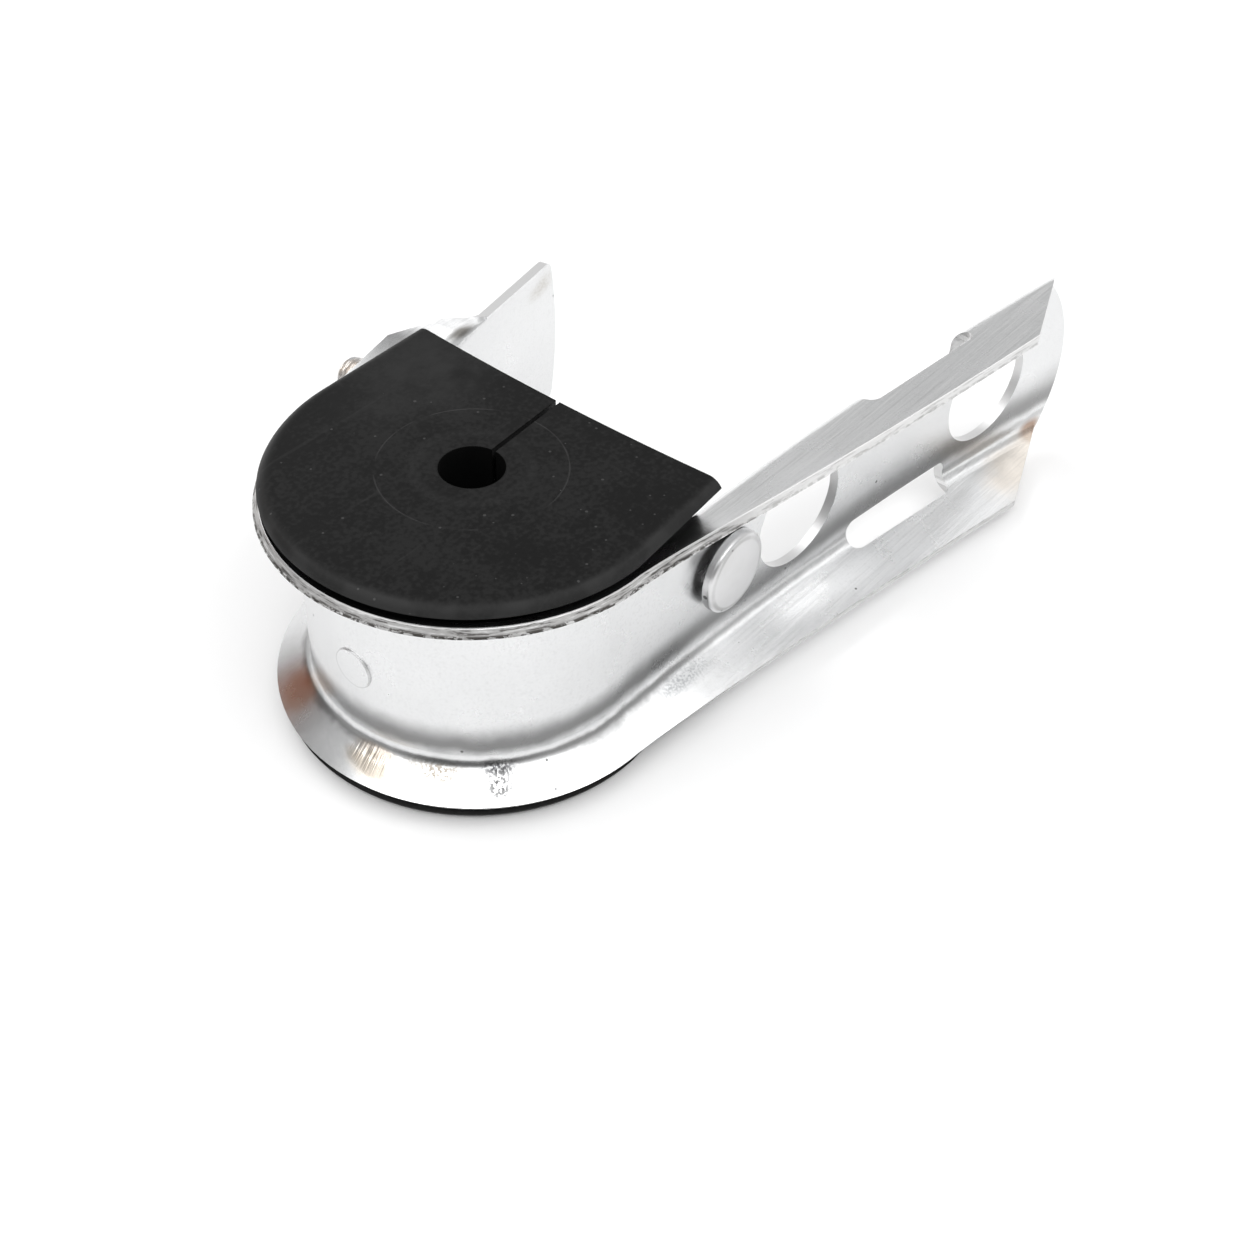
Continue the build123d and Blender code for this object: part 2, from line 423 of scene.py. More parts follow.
@dataclass(frozen=True)
class Specks:
    """Round dots: cells for each metre, a dot's radius in cells and the share of cells used."""

    scale: float
    radius: float
    share: float

    def mask(self, paint: Paint) -> Wire:
        """Scatters the dots.

        Args:
            paint: the material's tree.

        Returns:
            1 in a dot and 0 outside.
        """
        where = {"Vector": paint.place, "Scale": self.scale}
        cells = paint.add("ShaderNodeTexVoronoi", {"feature": "F1"}, where)
        colour = paint.add("ShaderNodeSeparateColor", None, [cells.out("Color")])
        chosen = colour.out(0).maths("LESS_THAN", self.share)
        grown = colour.out(1) * self.radius
        return cells.out("Distance").maths("LESS_THAN", grown) * chosen


@dataclass(frozen=True)
class ZincPlate:
    """Bright zinc plating on pressed sheet, with pits, streaks, wrinkles, discoloured patches and
    painted shade.
    """

    name: str = "zinc_plate"
    colour: Colour = (0.80, 0.805, 0.81, 1.0)
    shade: Colour = (0.74, 0.745, 0.75, 1.0)
    cloud_noise: tuple[float, ...] = (55.0, 4.0)
    speckle_noise: tuple[float, ...] = (900.0, 3.0)
    grain_noise: tuple[float, ...] = (2600.0, 2.0)
    cloudy: tuple[float, float] = (0.30, 0.75)
    wear: tuple[float, float] = (0.25, 0.8)
    wear_speckle: float = 0.10
    smooth: float = 0.20
    rough: float = 0.33
    pit_rough: float = 0.3
    bend_x: float = 0.4
    arm_start: tuple[float, float] = (12.0, 24.0)
    flange_start: tuple[float, float] = (11.5, 13.5)
    fin_start: tuple[float, float] = (27.0, 33.0)
    speckle_light: Coat = Coat(0.55, 0.80, 0.10, grey(0.90))
    speckle_dark: Coat = Coat(0.45, 0.25, 0.08, grey(0.55))
    grain_dark: Coat = Coat(0.50, 0.70, 0.22, grey(0.55))
    streak_turn: float = 0.1
    streak_scale: Triple = (70.0, 2600.0, 1800.0)
    streak_noise: tuple[float, ...] = (1.0, 4.0, 0.65)
    streak_light: Coat = Coat(0.50, 0.68, 0.45, grey(0.92))
    streak_dark: Coat = Coat(0.48, 0.30, 0.35, grey(0.50))
    # Painted shade: grey bands at the foot of the web, along the long arm's web and in the crease
    # of the lower flange.
    root_shade: Band = Band(240.0, 1.6, (8.2, 10.2), (14.6, 10.6), 0.9, grey(0.20))
    root_calm: float = 0.2
    arm_shade: Band = Band(110.0, 2.2, (8.6, 10.4), (18.0, 10.8), 0.55, grey(0.24))
    arm_shade_start: tuple[float, float] = (24.0, 56.0)
    crease_shade: Band = Band(420.0, 1.1, (6.3, 7.2), (8.2, 7.5), 0.75, grey(0.24))
    crease_calm: float = 0.55
    button_x: float = -20.0
    button_radius: float = 3.0
    # Painted shade: a thin dark line round the edge of the button.
    button_edge_shade: Coat = Coat(0.16, 0.05, 0.45, grey(0.32))
    clear_grain: tuple[float, float] = (0.56, 0.44)
    stains_and_shade: tuple[ColourPatch, ...] = (
        ColourPatch((98.6, -33.2, 5.0), (3.6, 3.0, 2.6), (0.36, 0.23, 0.16, 1.0), 0.9),
        ColourPatch((92.0, -36.0, 4.2), (14.0, 7.0, 3.0), (0.72, 0.65, 0.57, 1.0), 0.7),
        ColourPatch((-22.5, 13.0, 5.6), (4.5, 5.0, 3.5), (0.60, 0.44, 0.34, 1.0), 0.65),
        ColourPatch((-26.0, -5.0, 5.6), (3.5, 6.5, 2.2), (0.70, 0.61, 0.50, 1.0), 0.8),
        # Dark patches along the crease and on the wrinkles of the bend's lower flange.
        ColourPatch((-24.6, -4.0, 6.9), (2.0, 5.0, 0.9), (0.28, 0.24, 0.20, 1.0), 0.7),
        ColourPatch((-22.0, -12.6, 6.5), (6.0, 7.5, 1.6), (0.16, 0.14, 0.115, 1.0), 0.95, 0.9, 0.75),
        ColourPatch((-16.2, -18.2, 7.1), (4.4, 3.6, 1.2), (0.05, 0.05, 0.055, 1.0), 0.95, 0.9, 0.7),
        ColourPatch((-17.6, -19.8, 5.6), (3.8, 3.4, 2.4), (0.05, 0.05, 0.05, 1.0), 0.95, 0.9, 0.95),
        # Painted shade: a grey patch on the long arm's lower flange.
        ColourPatch((13.5, -26.2, 6.3), (8.0, 2.6, 1.7), (0.34, 0.35, 0.36, 1.0), 0.75, 0.95, 0.5),
        ColourPatch((49.5, 31.8, 29.0), (5.5, 3.0, 2.4), (0.42, 0.39, 0.34, 1.0), 0.5, 0.9, 0.4),
        # Painted shadow in the crease at the root of the fin.
        ColourPatch((28.3, 28.7, 32.5), (4.2, 1.1, 1.2), (0.13, 0.12, 0.105, 1.0), 0.85, 0.8),
    )
    pits: Specks = Specks(420.0, 0.16, 0.05)
    flecks: Specks = Specks(640.0, 0.17, 0.035)
    pit_share: float = 0.8
    pit_colour: Colour = grey(0.06)
    wrinkles: tuple[ColourPatch, ...] = (
        ColourPatch((-17.0, -20.0, 5.9), (4.0, 4.0, 2.2), grey(1.0), 1.0, 0.9),
        ColourPatch((-25.4, -4.4, 6.2), (3.0, 5.5, 2.0), grey(1.0), 0.8, 0.9),
    )
    fold_noise: tuple[float, ...] = (1.0, 3.0, 0.6)
    folds_round: float = 26.0
    folds_up: float = 90.0
    cloud_depth: float = 0.003
    speckle_depth: float = 0.0022
    grain_depth: float = 0.0008
    streak_depth: float = 0.005
    fold_depth: float = 0.35

    def ring(self, paint: Paint) -> Wire:
        """Returns how far a point lies from the button's rim, in millimetres."""
        away = (paint.y * paint.y + (paint.z - MID_HEIGHT) ** 2.0).root() / MM
        return (away - self.button_radius).size()

    def shaded(self, paint: Paint, colour: Wire, along_arm: Wire) -> Wire:
        """Lays the painted shade bands along the strip and the painted shade line round the button
        over a colour.

        Args:
            paint: the material's tree.
            colour: the colour below.
            along_arm: 1 on the long arm and the short arm, 0 on the bend.

        Returns:
            The new colour.
        """
        folded = 1.0 - paint.x.span(self.fin_start) * paint.y.maths("GREATER_THAN", 0.0)
        far_arm = paint.x.span(self.arm_shade_start) * paint.y.maths("LESS_THAN", 0.0)
        outside = (paint.x / MM).maths("LESS_THAN", self.button_x)
        # Painted shade bands at the foot of the web, along the long arm and in the crease of the
        # lower flange.
        colour = self.root_shade.over(colour, paint, folded * (1.0 - along_arm * self.root_calm))
        colour = self.arm_shade.over(colour, paint, far_arm)
        creased = folded * (1.0 - along_arm * self.crease_calm)
        colour = self.crease_shade.over(colour, paint, creased)
        # Painted shade line round the button's edge.
        return self.button_edge_shade.over(colour, self.ring(paint), outside)

    def stained_and_shaded(self, paint: Paint, colour: Wire, grain: Wire) -> Wire:
        """Lays the discoloured patches and the painted shade patches over a colour.

        Args:
            paint: the material's tree.
            colour: the colour below.
            grain: the fine grain that breaks up the grainy patches.

        Returns:
            The new colour.
        """
        clear = grain.ramp(*self.clear_grain)
        for mark in self.stains_and_shade:
            mask = mark.mask(paint)
            if mark.grainy:
                mask = mask * (1.0 - clear * mark.grainy)
            colour = paint.mix(mask, colour, mark.colour)
        return colour

    def crumple(self, paint: Paint) -> Wire:
        """Makes the wrinkles that pressing left in the bend's lower flange.

        Args:
            paint: the material's tree.

        Returns:
            The wrinkles' height, between 0 and 1.
        """
        turn = paint.y.maths("ARCTAN2", self.bend_x * MM - paint.x)
        place = [turn * self.folds_round, paint.z * self.folds_up, 0.0]
        where = paint.add("ShaderNodeCombineXYZ", None, place).out()
        near, *others = (wrinkle.mask(paint) for wrinkle in self.wrinkles)
        return paint.noise(*self.fold_noise, where) * sum(others, near)

    def material(self) -> bpy.types.Material:
        """Builds the plating.

        Returns:
            The material.
        """
        paint = Paint(self.name)
        cloud, speckle = paint.noise(*self.cloud_noise), paint.noise(*self.speckle_noise)
        grain = paint.noise(*self.grain_noise)
        drawn = paint.stretched(self.streak_scale, (0.0, 0.0, self.streak_turn))
        streaks = paint.noise(*self.streak_noise, drawn)
        along_arm = paint.x.span(self.arm_start)
        on_flange = (paint.z - MID_HEIGHT).size().span(self.flange_start) * along_arm
        pits = self.pits.mask(paint)
        dots = (pits + self.flecks.mask(paint)).clamp()
        colour = paint.mix(cloud.ramp(*self.cloudy), self.shade, self.colour)
        colour = self.speckle_light.over(colour, speckle)
        colour = self.speckle_dark.over(colour, speckle)
        colour = self.grain_dark.over(colour, grain)
        colour = self.streak_light.over(colour, streaks, on_flange)
        colour = self.streak_dark.over(colour, streaks, on_flange)
        colour = self.shaded(paint, colour, along_arm)
        colour = self.stained_and_shaded(paint, colour, grain)
        colour = paint.mix(dots * self.pit_share, colour, self.pit_colour)
        worn = speckle * self.wear_speckle + cloud * (1.0 - self.wear_speckle)
        worn = worn.ramp(*self.wear)
        rough = (worn * (self.rough - self.smooth) + self.smooth + pits * self.pit_rough).clamp()
        normal = paint.bump(cloud, self.cloud_depth)
        normal = paint.bump(speckle, self.speckle_depth, normal)
        normal = paint.bump(grain, self.grain_depth, normal)
        normal = paint.bump((streaks - 0.5) * on_flange + 0.5, self.streak_depth, normal)
        normal = paint.bump(self.crumple(paint), self.fold_depth, normal)
        return paint.surface(
            {"Base Color": colour, "Metallic": 1.0, "Roughness": rough, "Normal": normal}
        )


@dataclass(frozen=True)
class ShearedEdge:
    """The sheet's cut edge: a bright burr, a band of fine lines and a broken dark line."""

    name: str = "sheared_edge"
    bright: Colour = grey(0.80)
    band: Colour = (0.46, 0.455, 0.45, 1.0)
    band_share: float = 0.9
    bend_x: float = 0.4
    bend_radius: float = 27.0
    ease: float = 3.0
    end_ease: float = 101.94
    edge_start: float = 15.3
    edge_middle: float = 14.8
    edge_end: float = 16.8
    band_at_bend: float = 1.21
    band_on_arm: float = 1.45
    band_grows: tuple[float, float] = (0.0, 40.0)
    rim_start: tuple[float, float] = (13.0, 13.6)
    arm_start: tuple[float, float] = (6.0, 26.0)
    arm_calm: float = 0.65
    cut_rise: tuple[float, float] = (0.02, 0.12)
    cut_fall: tuple[float, float] = (0.95, 0.80)
    drawn_noise: tuple[float, ...] = (1.0, 4.0, 0.7)
    line_scale: tuple[float, float] = (0.20, 3.4)
    dark_line: Coat = Coat(0.48, 0.40, 0.85, (0.07, 0.065, 0.06, 1.0))
    bright_line: Coat = Coat(0.54, 0.62, 0.8, grey(0.80))
    torn_scale: tuple[float, float] = (0.75, 1.6)
    torn_place: float = 7.0
    torn: Coat = Coat(0.45, 0.53, 0.95, (0.07, 0.065, 0.06, 1.0))
    lip_fall: tuple[float, float] = (0.42, 0.18)
    smooth: float = 0.25
    hole_rough: float = 0.5
    cut_rough: float = 0.2
    torn_depth: float = 0.5
    depth: float = 0.04

    def across(self, paint: Paint) -> Wire:
        """Follows the sheet's thickness.

        Args:
            paint: the material's tree.

        Returns:
            Where a point lies across the cut: 0 at the outer face and 1 at the inner.
        """
        along = paint.x / MM - self.bend_x
        eased = (along * along + self.ease**2).root() - self.ease
        share = (eased / self.end_ease) * along.maths("GREATER_THAN", 0.0)
        rise = 4 * self.edge_middle - 3 * self.edge_start - self.edge_end
        curl = 2 * self.edge_start - 4 * self.edge_middle + 2 * self.edge_end
        edge = share * rise + share * share * curl + self.edge_start
        growth = along.ramp(*self.band_grows) * (self.band_on_arm - self.band_at_bend)
        return (((paint.z - MID_HEIGHT) / MM).size() - edge) / (growth + self.band_at_bend)

    def along(self, paint: Paint) -> Wire:
        """Follows the strip.

        Args:
            paint: the material's tree.

        Returns:
            How far a point lies along the strip, in millimetres from the middle of the bend.
        """
        ahead = paint.x / MM - self.bend_x
        turn = (paint.y / MM).maths("ARCTAN2", (-ahead).most(0.0))
        return turn * self.bend_radius + ahead.most(0.0) * paint.y.maths("SIGN")

    def grain(self, paint: Paint, scale: tuple[float, float], place: float) -> Wire:
        """Makes noise that is drawn out along the strip.

        Args:
            paint: the material's tree.
            scale: its scale along the strip and across the cut.
            place: which slice of the noise it is.

        Returns:
            The pattern, between 0 and 1.
        """
        where = [self.along(paint) * scale[0], self.across(paint) * scale[1], place]
        drawn = paint.add("ShaderNodeCombineXYZ", None, where).out()
        return paint.noise(*self.drawn_noise, drawn)

    def material(self) -> bpy.types.Material:
        """Builds the cut edge.

        Returns:
            The material.
        """
        paint = Paint(self.name)
        across = self.across(paint)
        lines = self.grain(paint, self.line_scale, 0.0)
        grit = self.grain(paint, self.torn_scale, self.torn_place)
        rim = (paint.z - MID_HEIGHT).size().span(self.rim_start)
        share = rim * (1.0 - paint.x.span(self.arm_start) * self.arm_calm)
        cut = across.ramp(*self.cut_rise) * across.ramp(*self.cut_fall) * share
        lip = across.ramp(*self.lip_fall) * share
        colour = paint.mix(cut * self.band_share, self.bright, self.band)
        colour = self.dark_line.over(colour, lines, cut)
        colour = self.bright_line.over(colour, lines, cut)
        colour = self.torn.over(colour, grit, lip)
        rough = cut * self.cut_rough + self.hole_rough - rim * (self.hole_rough - self.smooth)
        torn = grit * self.torn.at(grit) * lip * self.torn_depth
        normal = paint.bump(lines * cut + torn, self.depth)
        return paint.surface(
            {"Base Color": colour, "Metallic": 1.0, "Roughness": rough, "Normal": normal}
        )


@dataclass(frozen=True)
class MouldedRubber:
    """Matt black rubber with moulding rings, dust and fine scratches, with painted light: a
    highlight along the rim, a sheen on the far side of the top and shade in the cable hole.
    """

    name: str = "moulded_rubber"
    colour: Colour = grey(0.0004)
    cloud_noise: tuple[float, ...] = (90.0, 5.0, 0.62)
    fine_noise: tuple[float, ...] = (1500.0, 3.0)
    gap_noise: tuple[float, ...] = (170.0, 2.0)
    worn: Coat = Coat(0.44, 0.60, 1.0, grey(0.0078))
    # Painted sheen: a lighter patch on the far side of the top.
    far_sheen: ColourPatch = ColourPatch(
        (12.0, 20.0, 38.5), (20.0, 15.0, 12.0), grey(0.018), 0.85, soft=0.95, ragged=0.8
    )
    far_sheen_cloud: tuple[float, float] = (0.25, 0.60)
    gaps: tuple[float, float] = (0.42, 0.60)
    # Painted highlight along the rounded rim of the top, broken up in patches.
    rim_rise: tuple[float, float] = (36.4, 37.2)
    rim_fall: tuple[float, float] = (38.46, 38.1)
    rim_share: float = 0.5
    rim_patchy: float = 0.4
    rim_highlight: Colour = grey(0.022)
    inner_ring: float = 7.6
    soft_ring: Coat = Coat(1.3, 0.2, 0.10, grey(0.04))
    outer_ring: float = 12.8
    fine_ring: Coat = Coat(0.16, 0.03, 0.3, grey(0.06))
    scratch_scale: Triple = (35.0, 900.0, 60.0)
    scratch_turn: float = 0.7
    scratch_noise: tuple[float, ...] = (1.0, 2.0)
    scratch: Coat = Coat(0.66, 0.80, 0.12, grey(0.05))
    dust: Specks = Specks(760.0, 0.17, 0.32)
    dust_share: float = 0.30
    dust_colour: Colour = grey(0.12)
    # Painted shade inside the cable hole.
    bore_shade: Coat = Coat(4.8, 4.5, 1.0, grey(0.002))
    specular: float = 0.2
    smooth: float = 0.44
    wear: tuple[float, float] = (0.2, 0.8)
    cloud_rough: float = 0.14
    fine_rough: float = 0.08
    cloud_depth: float = 0.05
    fine_depth: float = 0.004
    soft_ring_depth: float = 0.3
    ring_depth: float = 0.03

    def material(self) -> bpy.types.Material:
        """Builds the rubber.

        Returns:
            The material.
        """
        paint = Paint(self.name)
        away = (paint.x * paint.x + paint.y * paint.y).root() / MM
        outer, inner = (away - self.outer_ring).size(), (away - self.inner_ring).size()
        cloud, fine = paint.noise(*self.cloud_noise), paint.noise(*self.fine_noise)
        gaps = paint.noise(*self.gap_noise).ramp(*self.gaps)
        rim = paint.z.span(self.rim_rise) * paint.z.span(self.rim_fall)
        turned = paint.stretched(self.scratch_scale, (0.0, 0.0, self.scratch_turn))
        colour = self.worn.over(self.colour, cloud * 0.5 + fine * 0.5)
        # Painted sheen on the far side of the top.
        far_sheen = self.far_sheen.mask(paint) * cloud.ramp(*self.far_sheen_cloud)
        colour = paint.mix(far_sheen, colour, self.far_sheen.colour)
        # Painted highlight along the rim.
        colour = paint.mix(rim * (gaps * self.rim_patchy + self.rim_share), colour, self.rim_highlight)
        colour = self.soft_ring.over(colour, inner)
        colour = self.fine_ring.over(colour, outer, gaps)
        scratches = paint.noise(*self.scratch_noise, where=turned)
        colour = self.scratch.over(colour, scratches)
        colour = paint.mix(self.dust.mask(paint) * self.dust_share, colour, self.dust_colour)
        # Painted shade inside the cable hole.
        colour = self.bore_shade.over(colour, away)
        rough = cloud.ramp(*self.wear) * self.cloud_rough + fine * self.fine_rough + self.smooth
        soft = self.soft_ring.at(inner) * self.soft_ring_depth
        rings = self.fine_ring.at(outer) * gaps + soft
        normal = paint.bump(cloud, self.cloud_depth)
        normal = paint.bump(fine, self.fine_depth, normal)
        normal = paint.bump(rings, self.ring_depth, normal)
        return paint.surface(
            {
                "Base Color": colour,
                "Roughness": rough.clamp(),
                "Specular IOR Level": self.specular,
                "Normal": normal,
            }
        )


@dataclass(frozen=True)
class BoltPlate:
    """Zinc plating on a forged and rolled fastener, a little duller than the strap's."""

    name: str = "bolt_plate"
    colour: Colour = (0.72, 0.72, 0.725, 1.0)
    cloud_noise: tuple[float, ...] = (160.0, 3.0)
    fine_noise: tuple[float, ...] = (1900.0, 3.0)
    dull: Coat = Coat(0.35, 0.7, 1.0, grey(0.68))
    tint: Coat = Coat(0.3, 0.6, 0.55, (0.50, 0.40, 0.30, 1.0))
    tint_start: tuple[float, float] = (30.0, 46.0)
    head_x: float = 24.26
    head_y: float = -24.9
    ring_radius: float = 5.55
    ring_edges: tuple[float, float] = (0.5, 0.1)
    ring: Coat = Coat(0.25, 0.6, 0.6, grey(0.34))
    pits: Specks = Specks(620.0, 0.26, 0.10)
    pit_share: float = 0.8
    pit_colour: Colour = grey(0.06)
    smooth: float = 0.16
    cloud_rough: float = 0.22
    fine_rough: float = 0.10
    fine_depth: float = 0.004
    cloud_depth: float = 0.02

    def head_ring(self, paint: Paint) -> Wire:
        """Finds the darker ring where the head's face meets its rounded rim.

        Args:
            paint: the material's tree.

        Returns:
            1 on the ring and 0 elsewhere.
        """
        away = ((paint.x - self.head_x * MM) ** 2.0 + (paint.z - MID_HEIGHT) ** 2.0).root() / MM
        outside = (paint.y / MM).maths("LESS_THAN", self.head_y)
        return (away - self.ring_radius).size().ramp(*self.ring_edges) * outside

    def material(self) -> bpy.types.Material:
        """Builds the plating.

        Returns:
            The material.
        """
        paint = Paint(self.name)
        cloud, fine = paint.noise(*self.cloud_noise), paint.noise(*self.fine_noise)
        colour = self.dull.over(self.colour, cloud)
        colour = self.tint.over(colour, cloud, paint.y.span(self.tint_start))
        colour = self.ring.over(colour, cloud, self.head_ring(paint))
        colour = paint.mix(self.pits.mask(paint) * self.pit_share, colour, self.pit_colour)
        rough = (cloud * self.cloud_rough + fine * self.fine_rough + self.smooth).clamp()
        normal = paint.bump(fine, self.fine_depth)
        normal = paint.bump(cloud, self.cloud_depth, normal)
        return paint.surface(
            {"Base Color": colour, "Metallic": 1.0, "Roughness": rough, "Normal": normal}
        )


@dataclass(frozen=True)
class StudioFloor:
    """Plain white sweep under the clamp."""

    name: str = "studio_floor"
    colour: Colour = grey(0.84)
    glow: float = 0.09
    rough: float = 0.9

    def material(self) -> bpy.types.Material:
        """Builds the floor's finish.

        Returns:
            The material.
        """
        return Paint(self.name).surface(
            {
                "Base Color": self.colour,
                "Roughness": self.rough,
                "Specular IOR Level": 0.0,
                "Emission Color": grey(1.0),
                "Emission Strength": self.glow,
            }
        )


class Recipe(Tree):
    """A Geometry Nodes tree built in code, with named inputs."""

    def __init__(self, name: str) -> None:
        """Makes a tree that takes a geometry and gives one.

        Args:
            name: the tree's name.
        """
        group = bpy.data.node_groups.new(name, "GeometryNodeTree")
        super().__init__(group)
        group.interface.new_socket("Geometry", in_out="INPUT", socket_type="NodeSocketGeometry")
        group.interface.new_socket("Geometry", in_out="OUTPUT", socket_type="NodeSocketGeometry")
        self.entry = self.add("NodeGroupInput")
        self.exit = self.add("NodeGroupOutput")

    def size_input(self, name: str, value: float) -> Wire:
        """Adds a named number to the tree's inputs.

        Args:
            name: the input's name.
            value: the number that it starts with.

        Returns:
            The input.
        """
        group = self.node_tree
        socket = group.interface.new_socket(name, in_out="INPUT", socket_type="NodeSocketFloat")
        socket.default_value = value
        return self.entry.out(name)

    def dressed(self, shape: Wire, crease: Term, material: bpy.types.Material) -> Wire:
        """Shades a shape smooth between its creases and gives it a material.

        Args:
            shape: the geometry.
            crease: the angle in radians above which an edge stays sharp.
            material: the material.

        Returns:
            The dressed geometry.
        """
        angle = self.add("GeometryNodeInputMeshEdgeAngle").out("Unsigned Angle")
        sharp = angle.maths("GREATER_THAN", crease)
        shader = "GeometryNodeSetShadeSmooth"
        faces = {"Geometry": shape, "Shade Smooth": True}
        smooth = self.add(shader, {"domain": "FACE"}, faces).out()
        edges = {"Geometry": smooth, "Selection": sharp, "Shade Smooth": False}
        shaped = self.add(shader, {"domain": "EDGE"}, edges).out()
        realized = self.add("GeometryNodeRealizeInstances", None, {"Geometry": shaped}).out()
        return self.add(
            "GeometryNodeSetMaterial", None, {"Geometry": realized, "Material": material}
        ).out()

    def finish_with(self, shape: Wire) -> None:
        """Links the finished geometry to the tree's output."""
        self.node_tree.links.new(shape.socket, self.exit.node.inputs["Geometry"])

    def put_on(self, thing: bpy.types.Object) -> None:
        """Adds the tree to an object as a modifier, with its inputs as they start."""
        thing.modifiers.new(self.node_tree.name, "NODES").node_group = self.node_tree


@dataclass
class Skin:
    """The look of a CAD node: smooth shading between its creases, and its finish."""

    solid: Solid
    slot: Slot
    finish: Union[ZincPlate, MouldedRubber, BoltPlate]
    crease: float = 28.0
    cut_finish: ShearedEdge | None = None
    sheet: float = 1.5
    sheet_share: float = 1.5
    merge_distance: float = 1e-6
    ray_lift: float = 1e-5

    def recipe(self, body: bpy.types.Material, cut: bpy.types.Material | None) -> Recipe:
        """Builds the tree that merges the triangles, smooths them and paints cut edges.

        Args:
            body: the material of the faces.
            cut: the material of the sheet's cut edges, or None.

        Returns:
            The tree.
        """
        tree = Recipe(f"{self.solid.value}_skin")
        crease = tree.size_input("Crease", math.radians(self.crease))
        reach = tree.size_input("Cut reach", self.sheet * self.sheet_share * MM)
        triangles = {"Geometry": tree.entry.out("Geometry"), "Distance": self.merge_distance}
        merged = tree.add("GeometryNodeMergeByDistance", None, triangles).out()
        painted = tree.dressed(merged, crease, body)
        if cut is not None:
            where = self.cut_faces(tree, merged, reach)
            painted = tree.add(
                "GeometryNodeSetMaterial",
                None,
                {"Geometry": painted, "Selection": where, "Material": cut},
            ).out()
        tree.finish_with(painted)
        return tree

    def cut_faces(self, tree: Recipe, shape: Wire, reach: Wire) -> Wire:
        """Finds the sheet's cut edges: faces with no other side within reach behind them.

        Args:
            tree: the tree to add to.
            shape: the merged geometry.
            reach: how far behind a face its other side may be, in metres.

        Returns:
            True on a cut edge.
        """
        normal = tree.add("GeometryNodeInputNormal").out()
        place = tree.add("GeometryNodeInputPosition").out()
        inwards = tree.add(
            "ShaderNodeVectorMath", {"operation": "SCALE"}, {0: normal, "Scale": -1.0}
        ).out()
        start = tree.add(
            "ShaderNodeVectorMath",
            {"operation": "MULTIPLY_ADD"},
            [normal, (-self.ray_lift,) * 3, place],
        ).out()
        ray = tree.add(
            "GeometryNodeRaycast",
            None,
            {
                "Target Geometry": shape,
                "Source Position": start,
                "Ray Direction": inwards,
                "Ray Length": reach,
            },
        )
        return tree.add("FunctionNodeBooleanMath", {"operation": "NOT"}, [ray.out("Is Hit")]).out()

    def dress(self) -> None:
        """Puts the finish and the smoothing on the CAD node."""
        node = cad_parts[self.solid.value]
        body = self.finish.material()
        cut = self.cut_finish.material() if self.cut_finish else None
        node.data.materials.clear()
        for material in filter(None, (body, cut)):
            node.data.materials.append(material)
        self.recipe(body, cut).put_on(node)
        log.info("dressed %s", self.solid.value)


